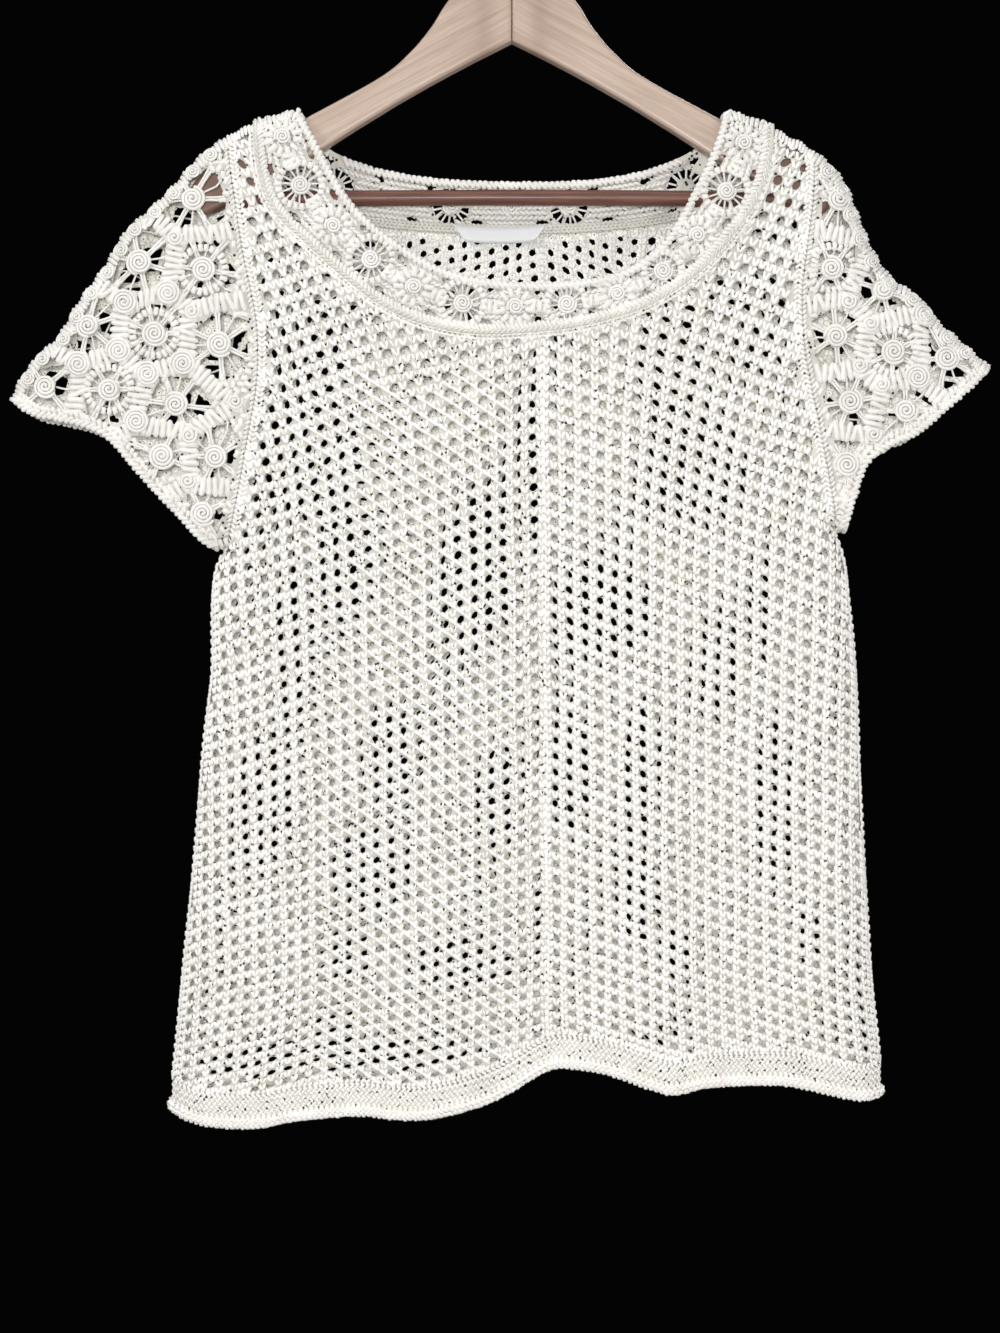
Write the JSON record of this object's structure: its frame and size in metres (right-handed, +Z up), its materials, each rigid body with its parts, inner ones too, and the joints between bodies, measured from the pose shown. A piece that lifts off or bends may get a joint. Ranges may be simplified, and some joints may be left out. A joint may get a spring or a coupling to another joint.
{
  "type": "crochet top on a wooden hanger",
  "caption": "Short-sleeved cream crochet top with a net body, lace sleeves and a lace neckband, hung on a wooden clothes hanger.",
  "frame": {"origin": "inside top of the hanger's hook, where a rail carries it", "axes": "+Z up along the hook's shank, +X across the shoulders to the right as seen from the front, the front faces -Y"},
  "size_m": [0.6496, 0.0545, 0.8415],
  "materials": {
    "net_cotton": "matte crocheted cotton net",
    "lace_cotton": "matte crocheted cotton lace",
    "hem_cotton": "matte plain crochet with a rolled edge",
    "piping_cotton": "matte twisted cotton cord",
    "label_satin": "bare white satin ribbon",
    "pale_wood": "satin varnish over fine grain",
    "dark_wood": "glossy dark stain",
    "hook_steel": "polished wire"
  },
  "bodies": {
    "root": {"front_panel": "net_cotton", "back_panel": "net_cotton", "hem_front": "hem_cotton", "hem_back": "hem_cotton", "neckband_front": "lace_cotton", "neckband_back": "lace_cotton", "neck_cord_front": "piping_cotton", "neck_cord_back": "piping_cotton", "sleeve_left_front": "lace_cotton", "sleeve_left_back": "lace_cotton", "sleeve_right_front": "lace_cotton", "sleeve_right_back": "lace_cotton", "neck_label": "label_satin", "hanger_arm_left": "pale_wood", "hanger_arm_right": "pale_wood", "hanger_bar": "dark_wood", "hanger_hook": "hook_steel"}
  },
  "joints": []
}
